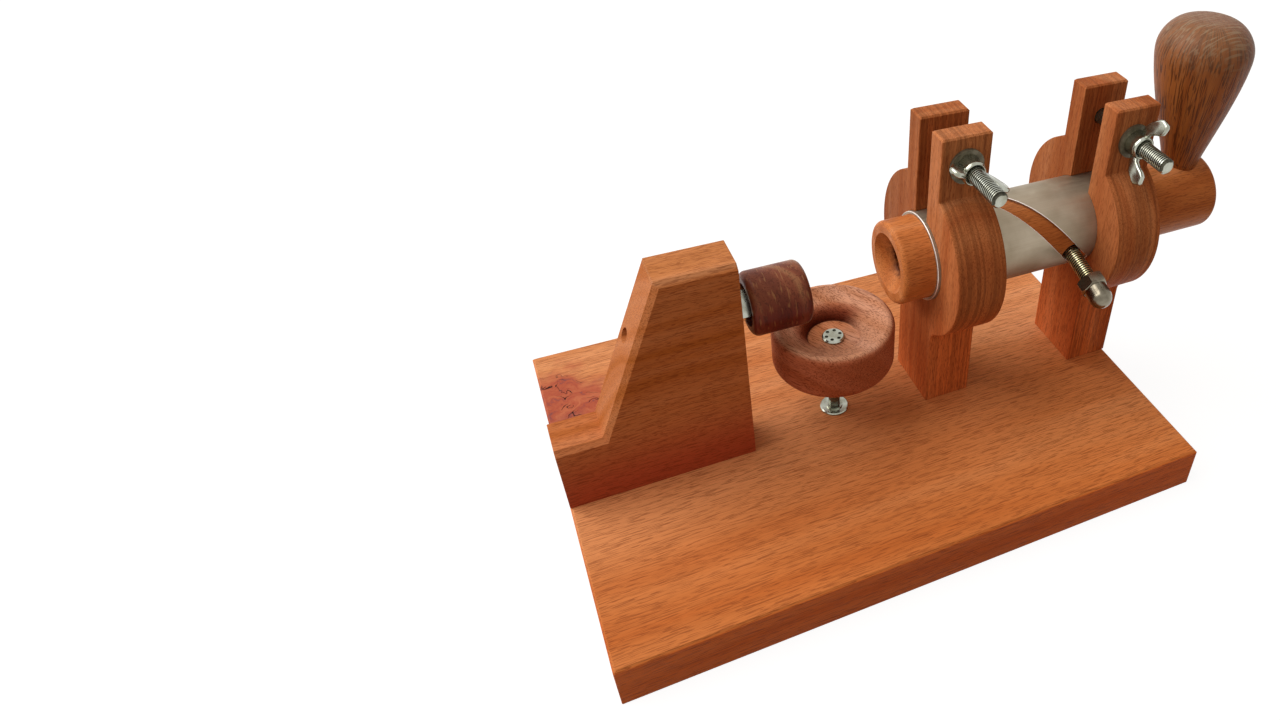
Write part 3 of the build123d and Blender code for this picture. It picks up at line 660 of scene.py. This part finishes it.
def thread(name, radius, pitch, end, crest, chamfer=0.8):
    """A screw thread of full depth along Z from 0 to end, in mm, with chamfered tips and painted shade in its
    roots.
    """
    root = radius - 0.62 * pitch
    shaded_below = radius - 0.2 * pitch
    # where the root ends, the crest starts and ends, and the next root starts, as shares of the pitch
    root_end, crest_start, crest_end, root_start = 0.12, 0.29, 0.71, 0.88
    spare_turns = 3                  # half of them below the start, all cut off with the tips
    piece = draw(name, [(root, 0), (root, root_end * pitch), (radius, crest_start * pitch),
                        (radius, crest_end * pitch), (root, root_start * pitch), (root, pitch)])
    piece.data.materials.append(crest)
    piece.data.materials.append(root_shade)
    turns = math.ceil(end / pitch) + spare_turns
    screw = piece.modifiers.new("thread", "SCREW")
    screw.axis, screw.angle, screw.screw_offset = "Z", math.tau, pitch * mm
    screw.iterations, screw.steps, screw.render_steps = turns, 24, 24
    bpy.ops.object.modifier_apply(modifier=screw.name)
    work_all(piece)
    bpy.ops.mesh.remove_doubles(threshold=same_point)
    bpy.ops.transform.translate(value=(0, 0, -spare_turns / 2 * pitch * mm))
    bpy.ops.object.mode_set(mode="OBJECT")
    # painted shade: the faces in the thread's roots take the dark root finish
    for face in piece.data.polygons:
        if math.hypot(face.center.x, face.center.y) < shaded_below * mm:
            face.material_index = 1
    work_all(piece)
    for height, up in ((chamfer, -1), (end - chamfer, 1)):
        bpy.ops.mesh.select_all(action="SELECT")
        bpy.ops.mesh.bisect(plane_co=(0, 0, height * mm), plane_no=(0, 0, up), clear_outer=True,
                            use_fill=True)
        bpy.ops.mesh.extrude_region_move(TRANSFORM_OT_translate={"value": (0, 0, up * chamfer * mm)})
        bpy.ops.transform.resize(value=[1 - chamfer / radius] * 2 + [1],
                                 center_override=(0, 0, height * mm))
    return close(piece, math.radians(28))


def turned(name, outline):
    """A closed outline of (radius, height) points in mm, spun once round the Z axis."""
    piece = draw(name, outline + outline[:1])
    work_all(piece)
    bpy.ops.mesh.remove_doubles(threshold=same_point)
    bpy.ops.mesh.select_all(action="SELECT")
    bpy.ops.mesh.spin(steps=48, angle=math.tau, center=(0, 0, 0), axis=(0, 0, 1))
    bpy.ops.mesh.select_all(action="SELECT")
    bpy.ops.mesh.remove_doubles(threshold=same_point)
    return close(piece, math.radians(50))


def wing(way):
    """One wing of a wing nut, standing out and up from the cone. way is 1 or -1."""
    thickness, edge_round = 2.6, 0.9
    outline = [(5.0, 1.4), (9.4, 2.3), (13.4, 5.3), (16.5, 9.7), (16.9, 11.4), (15.7, 14.7), (14.4, 15.4),
               (11.0, 14.9), (9.4, 12.7), (8.3, 9.8), (6.9, 7.3), (5.0, 6.7)]
    piece = draw("wing", [(way * r, z) for r, z in outline])
    work_all(piece)
    bpy.ops.mesh.edge_face_add()
    bpy.ops.object.mode_set(mode="OBJECT")
    plate = piece.modifiers.new("plate", "SOLIDIFY")
    plate.thickness, plate.offset = thickness * mm, 0
    bpy.ops.object.modifier_apply(modifier=plate.name)
    soft = piece.modifiers.new("cast edges", "BEVEL")
    soft.width, soft.segments = edge_round * mm, 3
    soft.limit_method, soft.angle_limit = "ANGLE", math.radians(50)
    bpy.ops.object.modifier_apply(modifier=soft.name)
    return close(piece, math.radians(50))


def lean_of(name, line):
    """How far a wing nut's wings are turned about the bolt that lies along Y, from level."""
    offs = [v.co - line for v in frame["nodes"][name].data.vertices]
    reach = max(math.hypot(o.x, o.z) for o in offs)
    # doubled angles, so the two opposite tips add up instead of cancelling
    tips = [2 * math.atan2(o.z, o.x) for o in offs if math.hypot(o.x, o.z) > 0.9 * reach]
    return math.atan2(sum(map(math.sin, tips)), sum(map(math.cos, tips))) / 2


def head_of(name, place, along):
    """The end of a solid beyond a cut across it, capped."""
    piece = copy_of(name)
    work_all(piece)
    bpy.ops.mesh.bisect(plane_co=place, plane_no=along, clear_inner=True, use_fill=True)
    bpy.ops.object.mode_set(mode="OBJECT")
    bpy.ops.object.shade_smooth_by_angle(angle=crease)
    return piece


# Wood with its edges broken by hand, and the tube with its cut edges filed bright
for name, width in (("baseboard", 0.4), ("anvil_post", 0.35), ("front_bracket", 0.4),
                    ("rear_bracket", 0.4), ("dish_base", 0.25), ("dish_cup", 0.25)):
    ease(name, width, sharp=50)
ease("guide_tube", 0.35, sharp=32, rim=cut_aluminium)

# Cast wing nuts: a short cone with a rolled ring at its mouth, and two flat wings with thick round ends
cone = [(4.05, 0.2), (6.2, 0.0), (6.5, 0.6), (5.5, 4.4), (5.95, 5.4), (5.85, 6.8), (5.2, 7.5),
        (4.5, 7.3), (4.05, 6.5)]
for name in ("front_wing_nut", "rear_wing_nut"):
    washer = name.replace("nut", "washer")
    line, seat = middle(washer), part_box(washer)[0].y
    nut = turned(name + "_made", cone)
    for way in (1, -1):
        join(nut, wing(way))
    nut.rotation_euler = (0, 0, lean_of(name, line))
    settle(nut)
    stand_for(aim(nut, (line.x, seat, line.z), (0, -1, 0)), name)

# Bolts with cut threads
m8, m8_pitch = 4.0, 1.25             # radius, and from crest to crest
m6, m6_pitch = 3.0, 1.0
for name in ("front_clamp_bolt", "rear_clamp_bolt"):
    low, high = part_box(name)
    line = middle(name)
    stub = high.y - 12 * mm          # the head and the plain shank behind it stay as they are
    bolt = thread(name + "_made", m8, m8_pitch, (stub - low.y) / mm + 1, zinc)
    aim(bolt, (line.x, low.y, line.z), (0, 1, 0))
    stand_for(join(bolt, head_of(name, (line.x, stub, line.z), (0, 1, 0))), name)

low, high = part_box("dish_bolt")
line = middle("dish_bolt")
bolt = thread("dish_bolt_made", m6, m6_pitch, (high.z - low.z) / mm - 5, zinc, chamfer=0.6)
aim(bolt, (line.x, line.y, low.z), (0, 0, 1))
head = head_of("dish_bolt", (line.x, line.y, high.z - 6 * mm), (0, 0, 1))
head.data.materials.clear()
head.data.materials.append(zinc)
head.data.materials.append(root_shade)
# painted shade fills the six small dimples in the top of the head
dimple_floor, dimple_mouth = high.z - 0.7 * mm, high.z - 0.2 * mm
dimples_reach = 4.6 * mm
for face in head.data.polygons:
    spot = face.center - line
    if dimple_floor < face.center.z < dimple_mouth and math.hypot(spot.x, spot.y) < dimples_reach:
        face.material_index = 1
stand_for(join(bolt, head), "dish_bolt")

low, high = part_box("anvil_stud")
line = middle("anvil_stud")
stud = thread("anvil_stud_made", m8, m8_pitch, (high.x - low.x) / mm, zinc)
stand_for(aim(stud, (low.x, line.y, line.z), (1, 0, 0)), "anvil_stud")

# The guide pin points from the tube's axis to its cap nut. Its length is worked out from its leaning box
cap = middle("cap_nut")
outward = Vector((0, cap.y - tube_axis.y, cap.z - tube_axis.z)).normalized()
low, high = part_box("guide_pin")
length = (high.y - low.y - 2 * m8 * mm * abs(outward.z)) / abs(outward.y)
pin = thread("guide_pin_made", m8, m8_pitch, length / mm, straw_zinc)
stand_for(aim(pin, middle("guide_pin") - outward * length / 2, outward), "guide_pin")


# ---------------------------------------------------------------- floor, light and camera

bpy.ops.object.select_all(action="DESELECT")
bpy.ops.mesh.primitive_plane_add(size=5.0, location=(0, 0, -0.3 * mm))
card = bpy.context.object
card.name = "card"
card.data.materials.append(pale_floor())

# A white room that gives a weaker and warmer light than it shows, and one wide window high on the left
world = bpy.data.worlds.new("room")
world.use_nodes = True
room = world.node_tree
room.nodes.clear()
seen = seen_plainly(room)
level = add(room, "MapRange", {"Value": seen, "To Min": 0.38, "To Max": 1.0}).outputs[0]
tint = add(room, "Mix", {0: seen, 6: [1.0, 0.80, 0.60, 1.0], 7: grey(1.0)}, data_type="RGBA").outputs[2]
sky = add(room, "Background", {"Color": tint, "Strength": level}).outputs[0]
add(room, "OutputWorld", {"Surface": sky})
bpy.context.scene.world = world

lamp = bpy.data.lights.new("window", "AREA")
lamp.shape, lamp.size, lamp.energy = "SQUARE", 3.3, 130.0
window = bpy.data.objects.new("window", lamp)
window.location = (-1.9, 0.9, 2.6)
window.rotation_euler = (Vector((0, 0, 0.08)) - window.location).to_track_quat("-Z", "Y").to_euler()
bpy.context.scene.collection.objects.link(window)

# The camera stands before the board's left end and looks down and across it
lens = bpy.data.cameras.new("camera")
lens.sensor_width, lens.lens = 36.0, 26.249
lens.shift_x, lens.shift_y = -0.2236, -0.0306
lens.clip_start = 0.01
camera = bpy.data.objects.new("camera", lens)
camera.location = (-0.14014702, -0.32640748, 0.38323494)
camera.rotation_euler = [math.radians(a) for a in (49.88706582, -3.01551985, -26.28551139)]
bpy.context.scene.collection.objects.link(camera)
bpy.context.scene.camera = camera
bpy.context.scene.view_settings.view_transform = "Standard"

bpy.context.view_layer.update()
